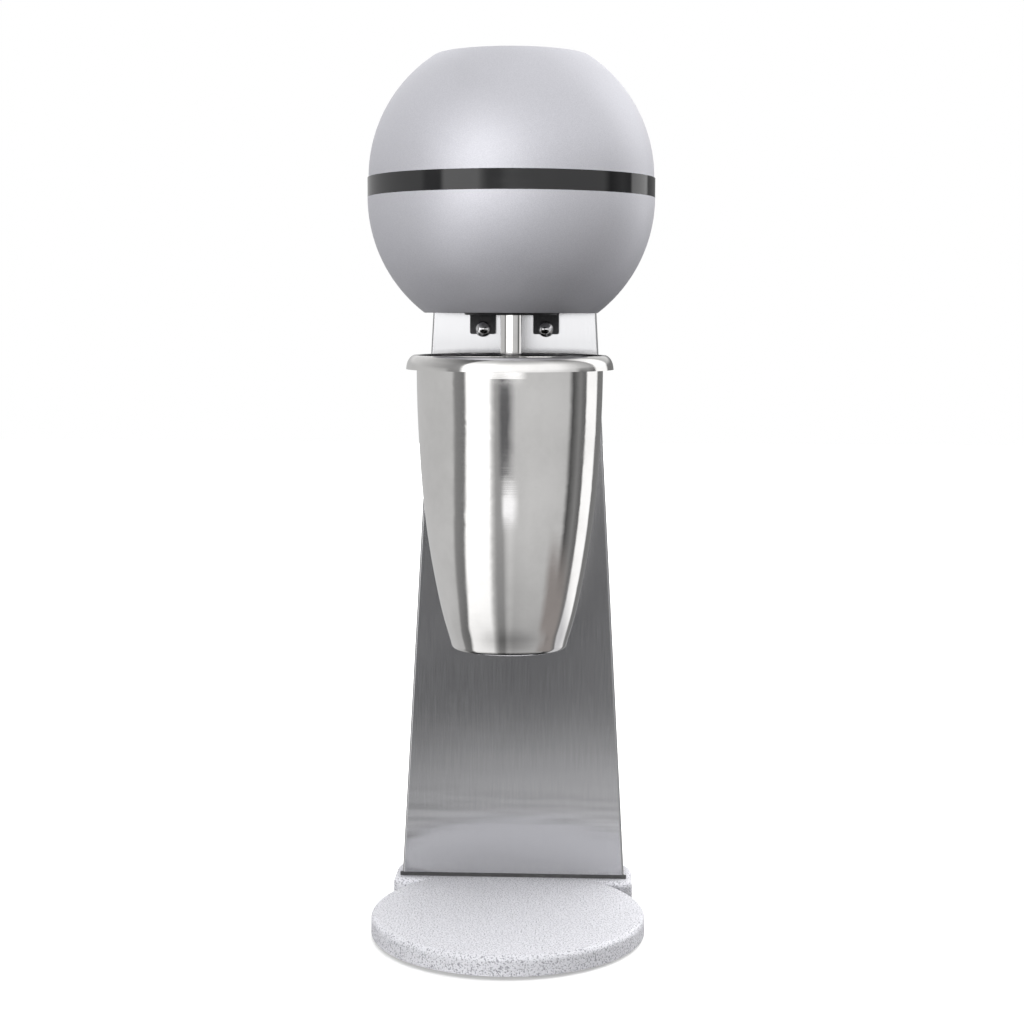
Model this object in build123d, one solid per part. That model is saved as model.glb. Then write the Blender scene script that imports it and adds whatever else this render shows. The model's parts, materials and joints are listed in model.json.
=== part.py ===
from build123d import *
import math
import os

# Single-spindle milkshake mixer. Millimetres, +Z up, -Y to the front, +X to the right as seen from
# the front. The origin is on the table under the middle of the footprint.

# ---- driving dimensions ----
foot_height = 2.0          # how far the rubber feet hold the base off the table
base_thickness = 11.0
base_half_depth = 90.0     # the base is 180 deep
plate_radius = 78.0        # round front of the base
block_half_width = 72.0    # block behind it that carries the column
block_front_y = 44.0       # the block starts just ahead of the column
block_rear_round = 20.0
block_front_round = 5.0
base_wall = 4.0
foot_places = [(-52.0, -42.0), (52.0, -42.0), (-55.0, 72.0), (55.0, 72.0)]
bolt_places = [(-46.0, 61.0), (46.0, 61.0), (-20.0, 72.0), (20.0, 72.0)]
foot_bolt_radius = 2.5
spindle_y = 4.0            # the spindle and the head stand just behind the middle

head_radius = 80.0         # lower shell and band
upper_radius = 79.4        # upper shell is a hair smaller, so the band stands proud of it
lower_centre_z = 416.4     # centre of the lower shell's sphere, and the band's lower edge
band_height = 10.7
head_top_z = 494.0
head_bottom_z = 352.8
shell_wall = 2.5
top_edge_round = 2.5
band_inner_radius = 74.4
cover_radius = 26.0        # black disc under the head
cover_thickness = 1.2
seal_outer = 12.0
underside_screw_circle = 18.5
vent_count = 9             # air slots in the back of the upper shell
vent_step = 7.0            # degrees between them

column_face_y = 51.5       # front of the column
column_depth = 30.0
column_top_z = 378.0
column_foot_half = 67.05   # half width at the foot
column_taper = 0.0566      # half width lost for each millimetre of height
sheet = 1.2                # stainless sheet of the column
bend_radius = 1.3          # outside of the folds down its front corners
cover_sheet = 1.0          # its back cover
gasket_thickness = 2.0
cover_screw_heights = (40.0, 196.0, 352.0)
lead_hole_x = 28.0         # where the motor's leads pass from the column into the head
lead_hole_z = 371.5

ear_spacing = 37.0         # the motor bracket's two ears, centre to centre
ear_width = 15.0
ear_bottom_z = 340.4
ear_thickness = 3.5
ear_screw_z = 343.5
flange_bolts_x = (-10.0, 10.0)
flange_bolt_z = 369.0

spindle_radius = 5.9
spindle_end_z = 192.0
shaft_radius = 4.0
agitator_radius = 17.0
running_gap = 0.05         # shafts in their bearings and seals
clearance = 0.3            # between other pieces that move past each other

cup_y = -8.0               # the cup hangs in front of the spindle's axis
cup_top_z = 329.5
cup_bottom_z = 165.3
cup_wall = 0.8

hook_width = 40.0
hook_pivot_y = 64.0
hook_plate_z = 318.5       # height of the hook's plate, above its pivot
hook_pin_radius = 2.0
switch_face_y = 66.5       # the cup switch stands against this plane
plunger_y = 71.5
bumper_z = 236.0           # rubber stop behind the cup

switch_z = 262.0           # on/off rocker, on the column's back
rocker_tilt = 10.0         # the key leans this far each way
gland_z = 52.0
cord_radius = 3.7          # the gland takes a cord of 7 mm
terminal_z = 96.0
terminal_screw_x = 12.0
lead_radius = 0.9

# ---- heights and places that follow from them ----
base_top_z = foot_height + base_thickness
column_foot_z = base_top_z + gasket_thickness
plate_centre_y = plate_radius - base_half_depth
column_back_y = column_face_y + column_depth
cover_back_y = column_back_y + cover_sheet
upper_centre_z = lower_centre_z + band_height
bracket_low_z = head_bottom_z + shell_wall
bracket_thickness = 4.0
frame_low_z = bracket_low_z + bracket_thickness
stack_low_z = 392.0        # motor laminations
stack_high_z = 427.0
stator_radius = 37.0
stator_ring_inner = 30.5
bore_radius = 19.5
armature_radius = 18.9
bolt_circle = 33.5         # the motor's long screws
bearing_radius = 11.0      # 8 x 22 x 7 ball bearings
bearing_width = 7.0
lower_bearing_z = 363.5
upper_bearing_z = 455.0
commutator_radius = 11.0
commutator_low_z = 437.0
commutator_high_z = 449.0
brush_z = 443.0
top_frame_z = 452.0
slot_count = 12            # armature slots
fan_low_z = 374.0
coil_inner_x = 22.9
coil_outer_x = 30.2
coil_overhang = 7.5        # how far the field coils stand out of the laminations
hook_axis_z = hook_plate_z - 4.0
switch_body_low = hook_plate_z + 4.0
switch_screw_z = hook_plate_z + 16.0
switch_tab_top = switch_body_low + 22.0
rocker_axis_y = cover_back_y - 1.5
rocker_tab_tip_y = cover_back_y - 22.0


def half_width(z):
    """Half width of the column's outside at height z."""
    return column_foot_half - column_taper * (z - column_foot_z)


def about_spindle(shape):
    """Moves a shape made about the Z axis onto the spindle's axis."""
    return Pos(0, spindle_y, 0) * shape


def rod(radius, low, high, x=0.0, y=0.0):
    """Upright cylinder between two heights."""
    return Pos(x, y, (low + high) / 2) * Cylinder(radius, high - low)


def rod_y(radius, low, high, x=0.0, z=0.0):
    """Cylinder along Y between two places."""
    return Pos(x, (low + high) / 2, z) * Rot(90, 0, 0) * Cylinder(radius, high - low)


def rod_x(radius, low, high, y=0.0, z=0.0):
    """Cylinder along X between two places."""
    return Pos((low + high) / 2, y, z) * Rot(0, 90, 0) * Cylinder(radius, high - low)


def block(x0, x1, y0, y1, z0, z1):
    """Box between two corners."""
    return Pos((x0 + x1) / 2, (y0 + y1) / 2, (z0 + z1) / 2) * Box(x1 - x0, y1 - y0, z1 - z0)


def ring(outer, inner, low, high):
    """Upright tube about the Z axis."""
    return rod(outer, low, high) - rod(inner, low - 1, high + 1)


def hexagon_rod(across_flats, low, high, x, y):
    """Upright hexagonal prism, for bolt heads and nuts."""
    outline = RegularPolygon(across_flats / 2, 6, major_radius=False)
    return Pos(x, y, low) * extrude(outline, high - low)


def outline_xz(points):
    """Closed straight-edged face in the XZ plane."""
    return make_face(Plane.XZ * Polyline(*points, close=True))


def trapezoid_prism(inset, z0, z1, y0, y1):
    """Prism with the column's tapering outline, drawn in by inset (negative is wider)."""
    low = half_width(z0) - inset
    high = half_width(z1) - inset
    face = outline_xz([(-low, z0), (low, z0), (high, z1), (-high, z1)])
    return Pos(0, y0, 0) * extrude(face, y0 - y1)


def group(*solids):
    """Identical or matching pieces kept in one node as separate solids."""
    return Compound(children=list(solids))


def group_about_spindle(*solids):
    """A group whose solids were made about the Z axis."""
    return group(*[about_spindle(solid) for solid in solids])


def circle_places(radius, count, start_degrees):
    """Places spaced evenly round a circle."""
    places = []
    for step in range(count):
        angle = math.radians(start_degrees + 360.0 * step / count)
        places.append((radius * math.cos(angle), radius * math.sin(angle)))
    return places


motor_screw_places = circle_places(bolt_circle, 4, 45)
underside_screw_places = circle_places(underside_screw_circle, 3, -90)


# ---- base ----
def base_outline(inset):
    """Round plate joined to the block behind it, drawn in by inset."""
    plate = Pos(0, plate_centre_y) * Circle(plate_radius - inset)
    half = block_half_width - inset
    front = block_front_y + inset
    back = base_half_depth - inset
    carrier = Pos(0, (front + back) / 2) * Rectangle(2 * half, back - front)
    rear = carrier.vertices().sort_by(Axis.Y)[2:]
    carrier = fillet(rear, block_rear_round - inset)
    front_corners = carrier.vertices().sort_by(Axis.Y)[:2]
    carrier = fillet(front_corners, block_front_round)
    return plate + carrier


def make_base_casting():
    """Hollow casting, open below, with bosses for the feet and the column's bolts."""
    body = Pos(0, 0, foot_height) * extrude(base_outline(0), base_thickness)
    body = fillet(body.faces().sort_by(Axis.Z)[-1].edges(), 3.0)
    hollow = extrude(base_outline(base_wall), base_thickness - base_wall + 1)
    body -= Pos(0, 0, foot_height - 1) * hollow
    for x, y in foot_places:
        body += rod(8.0, foot_height, base_top_z - 2, x, y)
        body -= rod(1.7, foot_height - 1, foot_height + 7.5, x, y)
    for x in (-28.0, 0.0, 28.0):
        body += block(x - 1.5, x + 1.5, -70.0, 50.0, foot_height + 1, base_top_z - 3)
    for y in (-50.0, 10.0):
        body += block(-55.0, 55.0, y - 1.5, y + 1.5, foot_height + 1, base_top_z - 3)
    for x, y in bolt_places:
        body -= rod(foot_bolt_radius + clearance, foot_height, base_top_z + 1, x, y)
    return body


def make_rubber_feet():
    """Four round feet with a recess for the screw's head."""
    feet = []
    for x, y in foot_places:
        foot = rod(8.5, 0, foot_height, x, y)
        foot = fillet(foot.faces().sort_by(Axis.Z)[0].edges(), 0.6)
        foot -= rod(3.4, -1, 1.2, x, y)
        foot -= rod(1.7, 0, foot_height + 1, x, y)
        feet.append(foot)
    return group(*feet)


def make_foot_screws():
    """Pan-head screws that hold the feet."""
    screws = []
    for x, y in foot_places:
        screws.append(rod(3.0, 0.4, 1.2, x, y) + rod(1.6, 1.2, foot_height + 7, x, y))
    return group(*screws)


# ---- column ----
def make_column_gasket():
    """Black gasket under the column's foot, with a wider bead along its front edge."""
    under = half_width(column_foot_z) - 0.4
    wide = half_width(column_foot_z) + 1.4
    pad = block(-under, under, column_face_y + 1.0, cover_back_y - 0.4, base_top_z, column_foot_z)
    bead = block(-wide, wide, column_face_y - 0.6, column_face_y + 1.6, base_top_z, column_foot_z)
    pad += fillet(bead.edges().filter_by(Axis.Z), 0.8)
    for x, y in bolt_places:
        pad -= rod(foot_bolt_radius + clearance, base_top_z - 1, column_foot_z + 1, x, y)
    return pad


def make_column_front():
    """Folded stainless channel: face, sides, top, foot flange and narrow return flanges."""
    back_y = column_back_y
    body = trapezoid_prism(0, column_foot_z, column_top_z, column_face_y, back_y)
    side_edges = [e for e in body.edges() if e.length > 300 and e.center().Y < column_face_y + 1]
    body = fillet(side_edges, bend_radius)
    inner = trapezoid_prism(sheet, column_foot_z + sheet, column_top_z - sheet,
                            column_face_y + sheet, back_y - sheet)
    body -= inner
    body -= trapezoid_prism(11.0, column_foot_z + 12, column_top_z - 12, back_y - 2 * sheet, back_y + 1)
    for x, y in bolt_places:
        body -= rod(foot_bolt_radius + clearance, column_foot_z - 1, column_foot_z + sheet + 1, x, y)
    window = block(-hook_width / 2 - 1.5, hook_width / 2 + 1.5, column_face_y - 1,
                   column_face_y + sheet + 1, hook_plate_z - 3.5, hook_plate_z + 4.5)
    body -= window
    for x in (-ear_spacing / 2, ear_spacing / 2):
        body -= rod_y(2.1, column_face_y - 1, column_face_y + sheet + 1, x, ear_screw_z)
    for x in flange_bolts_x:
        body -= rod_y(2.6, column_face_y - 1, column_face_y + sheet + 1, x, flange_bolt_z)
    body -= rod_y(2.1, column_face_y - 1, column_face_y + sheet + 1, 0, bumper_z)
    for x in (-lead_hole_x, lead_hole_x):
        body -= rod_y(3.0, column_face_y - 1, column_face_y + sheet + 1, x, lead_hole_z)
    for x, z in cover_screw_places():
        body -= rod_y(1.7, back_y - 2 * sheet, back_y + 1, x, z)
    return body


def cover_screw_places():
    """Three screws down each side of the back cover."""
    places = []
    for z in cover_screw_heights:
        for side in (-1, 1):
            places.append((side * (half_width(z) - 6.0), z))
    return places


def make_column_back():
    """Flat sheet that closes the column, with the switch's cut-out and the gland's hole."""
    y0 = column_back_y
    y1 = cover_back_y
    plate = trapezoid_prism(0.8, column_foot_z + 0.6, column_top_z - 0.6, y0, y1)
    plate = fillet(plate.edges().filter_by(Axis.Y), 2.0)
    plate -= block(-6.6, 6.6, y0 - 1, y1 + 1, switch_z - 9.8, switch_z + 9.8)
    plate -= rod_y(6.1, y0 - 1, y1 + 1, 0, gland_z)
    for x, z in cover_screw_places():
        plate -= rod_y(1.9, y0 - 1, y1 + 1, x, z)
    for x in (-terminal_screw_x, terminal_screw_x):
        plate -= rod_y(1.6, y0 - 1, y1 + 1, x, terminal_z)
    return plate


def dome_screw(x, y, z, dome_radius, head_height, shank, length):
    """Screw along Y with a domed head at its front; y is the seat of the head."""
    sphere_radius = (dome_radius ** 2 + head_height ** 2) / (2 * head_height)
    ball = Pos(x, y - head_height + sphere_radius, z) * Sphere(sphere_radius)
    dome = ball & rod_y(dome_radius + 1, y - head_height - 1, y, x, z)
    return dome + rod_y(shank, y, y + length, x, z)


def make_cover_screws():
    """Six domed screws in the column's back."""
    screws = []
    for x, z in cover_screw_places():
        screw = dome_screw(0, 0, 0, 3.3, 1.9, 1.6, 4.5)
        screws.append(Pos(x, cover_back_y, z) * Rot(0, 0, 180) * screw)
    return group(*screws)


def make_foot_bolts():
    """Hexagon bolts that come up through the base into the column."""
    bolts = []
    for x, y in bolt_places:
        head = hexagon_rod(8.0, base_top_z - 7.5, base_top_z - 4, x, y)
        bolts.append(head + rod(foot_bolt_radius, base_top_z - 4, column_foot_z + sheet + 7, x, y))
    return group(*bolts)


def make_foot_nuts():
    """Nuts on the column's foot flange."""
    nuts = []
    low = column_foot_z + sheet
    for x, y in bolt_places:
        thread = rod(foot_bolt_radius + 0.02, low - 1, low + 5, x, y)
        nuts.append(hexagon_rod(8.0, low, low + 4, x, y) - thread)
    return group(*nuts)


# ---- head shells ----
def head_column_cut():
    """Room that the head leaves for the column behind it."""
    gap = 0.6
    return trapezoid_prism(-gap, head_bottom_z - 20, column_top_z + gap, column_face_y - gap, 140)


def ear_notches():
    """Room that the lower shell leaves for the two ears."""
    notches = []
    for side in (-1, 1):
        x = side * ear_spacing / 2
        half = ear_width / 2 + 0.5
        notches.append(block(x - half, x + half, column_face_y - ear_thickness - 0.5, column_face_y + 9,
                             head_bottom_z - 5, frame_low_z + 3))
    return notches


def make_upper_shell():
    """Upper part of the ball, flat on top, with a boss for the tie bolt and slots at the back."""
    z0 = upper_centre_z
    ball = Pos(0, 0, z0) * Sphere(upper_radius)
    body = ball & block(-90, 90, -90, 90, z0, head_top_z)
    body = fillet(body.faces().sort_by(Axis.Z)[-1].edges(), top_edge_round)
    hollow = Pos(0, 0, z0) * Sphere(upper_radius - shell_wall)
    body -= hollow & block(-90, 90, -90, 90, z0 - 1, head_top_z - shell_wall)
    body += rod(8.0, head_top_z - 9, head_top_z - 1)
    body -= rod(5.5, head_top_z - 4, head_top_z + 1)
    body -= rod(2.7, head_top_z - 10, head_top_z)
    for step in range(vent_count):
        slot = block(-1.5, 1.5, 55, 90, z0 + 14, z0 + 40)
        body -= Rot(0, 0, (step - (vent_count - 1) / 2) * vent_step) * slot
    return about_spindle(body)


def make_band_ring():
    """Gloss band between the shells, with a collar inside that lines them up."""
    low = lower_centre_z
    high = upper_centre_z
    body = ring(head_radius, band_inner_radius, low, high)
    outside = body.faces().filter_by(GeomType.CYLINDER).sort_by(Axis.X)[-1]
    body = chamfer(outside.edges(), 0.25)
    body += ring(band_inner_radius + 2.2, band_inner_radius, low - 4, high + 4)
    return about_spindle(body)


def make_lower_shell():
    """Lower part of the ball, with a flat bottom and room behind for the column and ears."""
    ball = Pos(0, 0, lower_centre_z) * Sphere(head_radius)
    body = ball & block(-90, 90, -90, 90, head_bottom_z, lower_centre_z)
    body = fillet(body.faces().sort_by(Axis.Z)[0].edges(), 1.5)
    hollow = Pos(0, 0, lower_centre_z) * Sphere(head_radius - shell_wall)
    body -= hollow & block(-90, 90, -90, 90, head_bottom_z + shell_wall, lower_centre_z + 1)
    body -= rod(seal_outer + 0.1, head_bottom_z - 1, head_bottom_z + shell_wall + 1)
    for x, y in underside_screw_places:
        body -= rod(2.0, head_bottom_z - 1, bracket_low_z + 1, x, y)
        body -= underside_screw_head(x, y, 0.1)
    body = about_spindle(body) - head_column_cut()
    for notch in ear_notches():
        body -= notch
    return body


def underside_screw_head(x, y, spare):
    """Countersunk head, or with some to spare the sink that it sits in."""
    height = 1.7
    low = head_bottom_z - cover_thickness + 0.05
    return Pos(x, y, low + height / 2) * Cone(3.4 + spare, 1.8 + spare, height)


def make_underside_cover():
    """Black disc under the head."""
    body = rod(cover_radius, head_bottom_z - cover_thickness, head_bottom_z)
    body = fillet(body.faces().sort_by(Axis.Z)[0].edges(), 0.6)
    body -= rod(seal_outer + 0.1, head_bottom_z - 5, head_bottom_z + 1)
    for x, y in underside_screw_places:
        body -= rod(2.0, head_bottom_z - 5, head_bottom_z + 1, x, y)
        body -= underside_screw_head(x, y, 0.1)
        body -= rod(3.5, head_bottom_z - 3, head_bottom_z - cover_thickness + 0.05, x, y)
    return about_spindle(body)


def make_underside_screws():
    """Countersunk screws up through the cover and shell into the bracket."""
    screws = []
    for x, y in underside_screw_places:
        head = underside_screw_head(x, y, 0)
        screws.append(head + rod(1.8, head_bottom_z, bracket_low_z + 3, x, y))
    return group_about_spindle(*screws)


def make_spindle_seal():
    """Rubber collar that the spindle turns in."""
    body = rod(seal_outer, head_bottom_z - cover_thickness, bracket_low_z)
    body += rod(7.9, bracket_low_z, bracket_low_z + 2)
    body -= rod(spindle_radius + running_gap, head_bottom_z - 5, frame_low_z)
    return about_spindle(body)


def make_tie_bolt():
    """Screw from the top of the head into the motor's upper frame."""
    body = rod(4.6, head_top_z - 4, head_top_z - 1.2)
    body -= rod(1.6, head_top_z - 2.4, head_top_z)
    body += rod(2.5, head_top_z - 19, head_top_z - 4)
    return about_spindle(body)


def make_top_plug():
    """Snap-in plug over the tie bolt."""
    body = rod(5.4, head_top_z - 1.1, head_top_z)
    return about_spindle(fillet(body.faces().sort_by(Axis.Z)[-1].edges(), 0.4))


# ---- motor ----
def make_motor_bracket():
    """Black bracket: a plate under the motor, a flange on the column and two ears below the head."""
    flange_front_y = column_face_y - ear_thickness
    plate = rod(44.0, bracket_low_z, frame_low_z, 0, spindle_y)
    plate &= block(-50, 50, -50, column_face_y, bracket_low_z, frame_low_z)
    plate += block(-26.0, 26.0, spindle_y + 20, column_face_y, bracket_low_z, frame_low_z)
    plate += block(-18.0, 18.0, flange_front_y, column_face_y, bracket_low_z, flange_bolt_z + 7)
    plate &= Pos(0, spindle_y, lower_centre_z) * Sphere(head_radius - shell_wall - clearance)
    for side in (-1, 1):
        x = side * ear_spacing / 2
        ear = block(x - ear_width / 2, x + ear_width / 2, flange_front_y, column_face_y,
                    ear_bottom_z, frame_low_z)
        lower_edges = [e for e in ear.edges().filter_by(Axis.Y) if e.center().Z < ear_bottom_z + 1]
        plate += fillet(lower_edges, 1.2)
    for side in (-1, 1):
        plate -= rod_y(2.1, column_face_y - 9, column_face_y + 1, side * ear_spacing / 2, ear_screw_z)
    for x in flange_bolts_x:
        plate -= rod_y(2.6, column_face_y - 9, column_face_y + 1, x, flange_bolt_z)
    plate -= rod(8.0, bracket_low_z - 1, frame_low_z + 1, 0, spindle_y)
    for x, y in underside_screw_places:
        plate -= rod(1.85, bracket_low_z - 1, frame_low_z + 1, x, y + spindle_y)
    for x, y in motor_screw_places:
        plate -= rod(2.0, bracket_low_z - 1, frame_low_z + 1, x, y + spindle_y)
    return plate


def make_ear_screws():
    """Two bright dome-head screws through the ears into the column."""
    screws = []
    for side in (-1, 1):
        x = side * ear_spacing / 2
        screws.append(dome_screw(x, column_face_y - ear_thickness, ear_screw_z, 4.7, 3.4, 2.0, 9.0))
    return group(*screws)


def make_flange_bolts():
    """Two bolts through the bracket's flange into the column, inside the head."""
    bolts = []
    seat = column_face_y - ear_thickness
    hexagon = extrude(RegularPolygon(4, 6, major_radius=False), 3.5)
    for x in flange_bolts_x:
        head = Pos(x, seat, flange_bolt_z) * Rot(90, 0, 0) * hexagon
        bolts.append(head + rod_y(2.5, seat, column_face_y + sheet + 5, x, flange_bolt_z))
    return group(*bolts)


def make_lower_motor_frame():
    """Drive-end frame: flange, bearing seat and four posts up to the laminations."""
    body = rod(38.0, frame_low_z, frame_low_z + 4)
    body += rod(14.5, frame_low_z, lower_bearing_z + bearing_width)
    for x, y in motor_screw_places:
        body += rod(4.0, frame_low_z + 4, stack_low_z, x, y)
    for x, y in motor_screw_places:
        body -= rod(2.1, frame_low_z - 1, stack_low_z + 1, x, y)
    body -= rod(bearing_radius, lower_bearing_z, lower_bearing_z + bearing_width + 1)
    body -= rod(8.0, frame_low_z - 1, lower_bearing_z + 1)
    return about_spindle(body)


def make_upper_motor_frame():
    """Brush-end frame: ring, posts, brush pads, top plate with a bearing seat and a tie post."""
    body = ring(38.0, stator_ring_inner + 0.5, stack_high_z, stack_high_z + 4)
    for x, y in motor_screw_places:
        body += rod(4.0, stack_high_z, top_frame_z, x, y)
    body += rod(38.0, top_frame_z, top_frame_z + 4)
    body += rod(14.5, top_frame_z, upper_bearing_z + bearing_width + 3)
    body += rod(6.0, top_frame_z, head_top_z - 9)
    for side in (-1, 1):
        y0, y1 = sorted((side * 25.0, side * 35.0))
        body += block(-4.0, 4.0, y0, y1, stack_high_z + 2, brush_z - 4.5)
    for x, y in motor_screw_places:
        body -= rod(2.1, stack_high_z - 1, top_frame_z + 5, x, y)
    body -= rod(bearing_radius, top_frame_z - 1, upper_bearing_z + bearing_width)
    body -= rod(2.55, head_top_z - 20, head_top_z)
    return about_spindle(body)


def make_motor_screws():
    """Four long screws that clamp the motor to its bracket."""
    screws = []
    for x, y in motor_screw_places:
        head = rod(3.5, top_frame_z + 4, top_frame_z + 7, x, y)
        screws.append(head + rod(1.95, bracket_low_z + 0.5, top_frame_z + 4, x, y))
    return group_about_spindle(*screws)


def make_stator_core():
    """Field laminations: a ring and two poles facing the armature."""
    body = ring(stator_radius, stator_ring_inner, stack_low_z, stack_high_z)
    for side in (-1, 1):
        x0, x1 = sorted((side * 21.0, side * (stator_ring_inner + 1)))
        body += block(x0, x1, -9.0, 9.0, stack_low_z, stack_high_z)
    shoes = ring(22.5, bore_radius, stack_low_z, stack_high_z)
    shoes -= block(-9.0, 9.0, -30, 30, stack_low_z - 1, stack_high_z + 1)
    body += shoes
    for x, y in motor_screw_places:
        body -= rod(2.1, stack_low_z - 1, stack_high_z + 1, x, y)
    return about_spindle(body)


def make_field_coils():
    """Two enamelled copper coils round the poles."""
    coils = []
    for side in (-1, 1):
        x0, x1 = sorted((side * coil_inner_x, side * coil_outer_x))
        coil = block(x0, x1, -14.5, 14.5, stack_low_z - coil_overhang, stack_high_z + coil_overhang)
        coil = fillet(coil.edges().filter_by(Axis.X), 4.0)
        coil -= block(x0 - 1, x1 + 1, -9.2, 9.2, stack_low_z - 0.2, stack_high_z + 0.2)
        coils.append(coil & rod(coil_outer_x, stack_low_z - 9, stack_high_z + 9))
    return group_about_spindle(*coils)


def make_armature_core():
    """Slotted armature laminations on the shaft."""
    body = rod(armature_radius, stack_low_z, stack_high_z)
    body -= rod(shaft_radius, stack_low_z - 1, stack_high_z + 1)
    for step in range(slot_count):
        slot = block(11.5, 20.0, -1.5, 1.5, stack_low_z - 1, stack_high_z + 1)
        body -= Rot(0, 0, step * 360 / slot_count) * slot
    return about_spindle(body)


def make_armature_winding():
    """Copper winding: bars in the slots and end turns above and below."""
    body = ring(16.5, 7.0, stack_high_z, stack_high_z + 7)
    body += ring(16.5, 7.0, stack_low_z - 7, stack_low_z)
    outer_edges = body.edges().filter_by(GeomType.CIRCLE).filter_by(lambda e: e.radius > 16)
    body = fillet(outer_edges, 2.0)
    for step in range(slot_count):
        bar = block(11.7, 16.3, -1.4, 1.4, stack_low_z - 1, stack_high_z + 1)
        body += Rot(0, 0, step * 360 / slot_count) * bar
    return about_spindle(body)


def make_armature_shaft():
    """Hardened shaft through both bearings, with its lower end in the spindle."""
    body = rod(shaft_radius - running_gap, 338.0, upper_bearing_z + bearing_width - 0.5)
    return about_spindle(chamfer(body.edges().filter_by(GeomType.CIRCLE), 0.5))


def make_commutator():
    """Copper segments with narrow grooves between them."""
    body = rod(commutator_radius, commutator_low_z, commutator_high_z)
    body -= rod(shaft_radius, commutator_low_z - 1, commutator_high_z + 1)
    for step in range(slot_count * 2):
        groove = block(9.4, 12.0, -0.3, 0.3, commutator_low_z - 1, commutator_high_z + 1)
        body -= Rot(0, 0, step * 180 / slot_count) * groove
    return about_spindle(body)


def make_cooling_fan():
    """Flat fan with eight blades under the armature."""
    low = fan_low_z
    body = rod(25.0, low + 8, low + 9.5) + rod(9.0, low, low + 9.5)
    for step in range(8):
        blade = block(8.0, 24.5, -0.9, 0.9, low, low + 9)
        body += Rot(0, 0, step * 45) * blade
    body -= rod(shaft_radius, low - 1, low + 11)
    return about_spindle(body)


def make_bearing(low):
    """Ball bearing 8 x 22 x 7, modelled as its two rings with shields as one piece."""
    body = ring(bearing_radius - 0.01, shaft_radius, low, low + bearing_width)
    high = low + bearing_width
    body -= ring(9.6, 5.6, low - 1, low + 0.4)
    body -= ring(9.6, 5.6, high - 0.4, high + 1)
    return about_spindle(body)


def along_y_pair(make):
    """Front and rear copies of a piece made on the rear side of the spindle."""
    return group_about_spindle(make(), Rot(0, 0, 180) * make())


def make_brush_holders():
    """Brass tubes that guide the carbon brushes."""
    def one():
        body = block(-3.5, 3.5, 12.6, 33.0, brush_z - 4.5, brush_z + 4.5)
        return body - block(-2.6, 2.6, 12.0, 31.8, brush_z - 3.6, brush_z + 3.6)
    return along_y_pair(one)


def make_carbon_brushes():
    """Two carbon brushes."""
    def one():
        body = block(-2.5, 2.5, commutator_radius, 24.0, brush_z - 3.5, brush_z + 3.5)
        return body - rod(commutator_radius + clearance, brush_z - 6, brush_z + 6)
    return along_y_pair(one)


def coil_spring(radius, wire, pitch, length):
    """Round-wire compression spring about the Z axis, starting at Z = 0."""
    path = Helix(pitch, length, radius)
    section = Plane(path @ 0, z_dir=path % 0) * Circle(wire / 2)
    return sweep(section, path)


def make_brush_springs():
    """Springs that press the brushes on the commutator."""
    def one():
        spring = coil_spring(1.8, 0.5, 1.4, 6.6)
        return Pos(0, 24.5, brush_z) * Rot(-90, 0, 0) * spring
    return along_y_pair(one)


# ---- spindle and agitator ----
def make_spindle():
    """Polished rod that hangs from the motor's shaft."""
    top = lower_bearing_z - 3.5
    body = rod(spindle_radius, spindle_end_z, top)
    body = chamfer(body.faces().sort_by(Axis.Z)[0].edges(), 0.6)
    body -= rod(shaft_radius, 337.5, top + 1)
    body += rod(3.0, spindle_end_z - 6, spindle_end_z)
    return about_spindle(body)


def make_agitator():
    """Mixing disc with bent blades round its rim."""
    low = spindle_end_z - 3
    body = rod(agitator_radius - 2.5, low + 0.8, low + 2.2) + rod(7.0, low, low + 3)
    for step in range(8):
        blade = block(11.0, agitator_radius, -2.6, 2.6, -0.7, 0.7)
        lean = 28 if step % 2 else -28
        body += Rot(0, 0, step * 45) * Pos(0, 0, low + 1.5) * Rot(lean, 0, 0) * blade
    body -= rod(3.0, low - 1, low + 5)
    return about_spindle(body)


def make_agitator_nut():
    """Domed nut that holds the agitator on the spindle."""
    top = spindle_end_z - 3
    body = Pos(0, 0, top - 4) * extrude(RegularPolygon(4.5, 6, major_radius=False), 4)
    body += Pos(0, 0, top - 4) * Sphere(3.9) & rod(4.5, top - 9, top)
    body -= rod(3.0, top - 3.2, top + 1)
    return about_spindle(body)


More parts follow.
